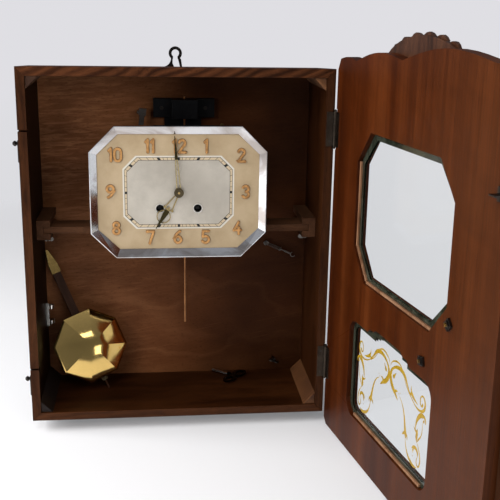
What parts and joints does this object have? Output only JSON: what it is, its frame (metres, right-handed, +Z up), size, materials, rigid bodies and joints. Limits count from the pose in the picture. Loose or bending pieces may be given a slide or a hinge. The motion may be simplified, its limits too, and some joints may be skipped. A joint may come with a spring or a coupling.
{
  "type": "chiming wall clock",
  "caption": "Octagonal-dial chiming wall clock in a walnut case with a glazed side-hinged door, a striking movement, a rod gong and an unhooked pendulum.",
  "frame": {"origin": "centre of the hanger's eye, on the wall plane", "axes": "+X right seen from the front, +Y back into the wall, +Z up"},
  "size_m": [0.4425, 0.4787, 0.4768],
  "materials": {
    "walnut": "satin lacquer",
    "reddish_plywood": "matt",
    "raw_wood": "raw",
    "dark_iron": "matt",
    "dark_steel": "tarnished",
    "steel": "satin",
    "chrome": "polished",
    "brass": "satin",
    "polished_brass": "polished",
    "copper": "satin",
    "dial_paint": "satin",
    "window_glass": "clear",
    "dark_wood": "satin"
  },
  "bodies": {
    "case": {"case_left_side": "walnut", "case_right_side": "walnut", "case_top": "walnut", "case_bottom": "walnut", "back_panel": "reddish_plywood", "corner_blocks": "raw_wood", "seat_rails": "walnut", "seat_board": "walnut", "seat_thumb_screws": "steel", "hanger": "dark_steel", "hinge_case_halves": "dark_steel", "case_fixings": "dark_steel", "gong_block": "dark_iron", "gong_rod": "copper", "key_clip": "chrome", "front_plate": "brass", "back_plate": "brass", "pillars": "brass", "movement_screws": "steel", "dial_plate": "dial_paint", "numerals": "copper", "winding_rings": "chrome", "bezel": "chrome", "suspension_cock": "brass"},
    "door": {"door_board": "walnut", "door_mouldings": "walnut", "door_pull": "brass", "door_fixings": "dark_steel", "door_tongues": "steel", "hinge_door_halves": "dark_steel", "upper_glass": "window_glass", "lower_glass": "window_glass", "glazing_beads": "raw_wood"},
    "hook_upper": {"side_hook_upper": "dark_steel"},
    "hook_lower": {"side_hook_lower": "dark_steel"},
    "minute": {"minute_hand": "brass", "hand_nut": "brass", "cannon_pinion": "steel"},
    "motion_wheel": {"minute_wheel": "brass"},
    "hour": {"hour_wheel": "brass", "hour_hand": "brass"},
    "barrel_going": {"going_barrel": "brass"},
    "wheel_centre": {"centre_wheel": "brass"},
    "wheel_third": {"third_wheel": "brass"},
    "wheel_escape": {"escape_wheel": "brass"},
    "barrel_strike": {"strike_barrel": "brass"},
    "wheel_strike": {"strike_wheel": "brass"},
    "fly": {"strike_fly": "brass"},
    "arbor_going": {"going_arbor": "steel"},
    "arbor_strike": {"strike_arbor": "steel"},
    "hammer": {"hammer": "steel"},
    "pallets": {"pallets": "steel"},
    "leader": {"pendulum_leader": "steel"},
    "lever": {"strike_lever": "brass"},
    "hook_transit": {"transit_hook": "steel"},
    "key": {"winding_key": "steel"},
    "pendulum": {"pendulum_rod": "dark_wood", "pendulum_ferrule": "brass"},
    "bob": {"pendulum_bob": "polished_brass"},
    "nut": {"rating_nut": "brass"}
  },
  "joints": [
    {"name": "door_hinge", "type": "hinge", "parent": "case", "child": "door", "pos_m": [0.1756, -0.118, -0.1485], "axis": [0, 0, 1], "range_deg": [-100, 40]},
    {"name": "side_hook_upper_pivot", "type": "hinge", "parent": "case", "child": "hook_upper", "pos_m": [-0.1762, -0.108, -0.093], "axis": [1, 0, 0], "range_deg": [0, 170]},
    {"name": "side_hook_lower_pivot", "type": "hinge", "parent": "case", "child": "hook_lower", "pos_m": [-0.1762, -0.108, -0.373], "axis": [1, 0, 0], "range_deg": [0, 170]},
    {"name": "minute_turn", "type": "hinge", "parent": "case", "child": "minute", "pos_m": [0, -0.112, -0.1485], "axis": [0, 1, 0], "continuous": true},
    {"name": "motion_wheel_turn", "type": "hinge", "parent": "case", "child": "motion_wheel", "pos_m": [0, -0.093, -0.1335], "axis": [0, 1, 0], "continuous": true},
    {"name": "hour_turn", "type": "hinge", "parent": "case", "child": "hour", "pos_m": [0, -0.105, -0.1485], "axis": [0, 1, 0], "continuous": true},
    {"name": "escape_turn", "type": "hinge", "parent": "case", "child": "wheel_escape", "pos_m": [0.00001, -0.067, -0.12674], "axis": [0, 1, 0], "continuous": true},
    {"name": "third_turn", "type": "hinge", "parent": "case", "child": "wheel_third", "pos_m": [0.014, -0.059, -0.1345], "axis": [0, 1, 0], "continuous": true},
    {"name": "centre_turn", "type": "hinge", "parent": "case", "child": "wheel_centre", "pos_m": [0, -0.057, -0.1485], "axis": [0, 1, 0], "continuous": true},
    {"name": "going_barrel_turn", "type": "hinge", "parent": "case", "child": "barrel_going", "pos_m": [0.0215, -0.067, -0.1675], "axis": [0, 1, 0], "continuous": true},
    {"name": "fly_turn", "type": "hinge", "parent": "case", "child": "fly", "pos_m": [-0.02564, -0.072, -0.12649], "axis": [0, 1, 0], "continuous": true},
    {"name": "strike_wheel_turn", "type": "hinge", "parent": "case", "child": "wheel_strike", "pos_m": [-0.03363, -0.057, -0.1415], "axis": [0, 1, 0], "continuous": true},
    {"name": "strike_barrel_turn", "type": "hinge", "parent": "case", "child": "barrel_strike", "pos_m": [-0.0215, -0.067, -0.1675], "axis": [0, 1, 0], "continuous": true},
    {"name": "going_wind", "type": "hinge", "parent": "case", "child": "arbor_going", "pos_m": [0.0215, -0.092, -0.1675], "axis": [0, 1, 0], "continuous": true},
    {"name": "strike_wind", "type": "hinge", "parent": "case", "child": "arbor_strike", "pos_m": [-0.0215, -0.092, -0.1675], "axis": [0, 1, 0], "continuous": true},
    {"name": "hammer_swing", "type": "hinge", "parent": "case", "child": "hammer", "pos_m": [-0.0505, -0.057, -0.149], "axis": [0, 1, 0], "range_deg": [0, 33.6], "stiffness_Nm_per_rad": 0.01, "springref_deg": -28.65},
    {"name": "pallet_rock", "type": "hinge", "parent": "case", "child": "pallets", "pos_m": [0.00001, -0.067, -0.10974], "axis": [0, 1, 0], "range_deg": [-3, 3]},
    {"name": "leader_swing", "type": "hinge", "parent": "case", "child": "leader", "pos_m": [0.00001, -0.037, -0.10974], "axis": [0, 1, 0], "range_deg": [-3, 3]},
    {"name": "lever_turn", "type": "hinge", "parent": "case", "child": "lever", "pos_m": [0.05, -0.045, -0.109], "axis": [0, 1, 0], "range_deg": [-10, 10]},
    {"name": "transit_hook_turn", "type": "hinge", "parent": "case", "child": "hook_transit", "pos_m": [0.1145, -0.01, -0.237], "axis": [0, 1, 0], "range_deg": [-38, 100]},
    {"name": "key_lift_out", "type": "slide", "parent": "case", "child": "key", "axis": [0, -1, 0], "range_m": [0, 0.15]},
    {"name": "pendulum_lift_out", "type": "slide", "parent": "case", "child": "pendulum", "axis": [0, -1, 0], "range_m": [0, 0.15]},
    {"name": "bob_slide", "type": "slide", "parent": "pendulum", "child": "bob", "axis": [-0.3963, 0.2079, 0.8943], "range_m": [-0.0014, 0.0014]},
    {"name": "rating_nut_turn", "type": "hinge", "parent": "bob", "child": "nut", "pos_m": [-0.09176, -0.04901, -0.40346], "axis": [-0.3963, 0.2079, 0.8943], "range_deg": [-721, 721]}
  ],
  "couplings": [
    {"joint": "motion_wheel_turn", "follows": "minute_turn", "ratio": -0.33333},
    {"joint": "hour_turn", "follows": "minute_turn", "ratio": 0.083333},
    {"joint": "third_turn", "follows": "escape_turn", "ratio": -0.14286},
    {"joint": "centre_turn", "follows": "escape_turn", "ratio": 0.017857},
    {"joint": "going_barrel_turn", "follows": "escape_turn", "ratio": -0.0029762},
    {"joint": "strike_wheel_turn", "follows": "fly_turn", "ratio": -0.13333},
    {"joint": "strike_barrel_turn", "follows": "fly_turn", "ratio": 0.022222},
    {"joint": "leader_swing", "follows": "pallet_rock", "ratio": 1},
    {"joint": "rating_nut_turn", "follows": "bob_slide", "rad_per_m": 8976}
  ]
}
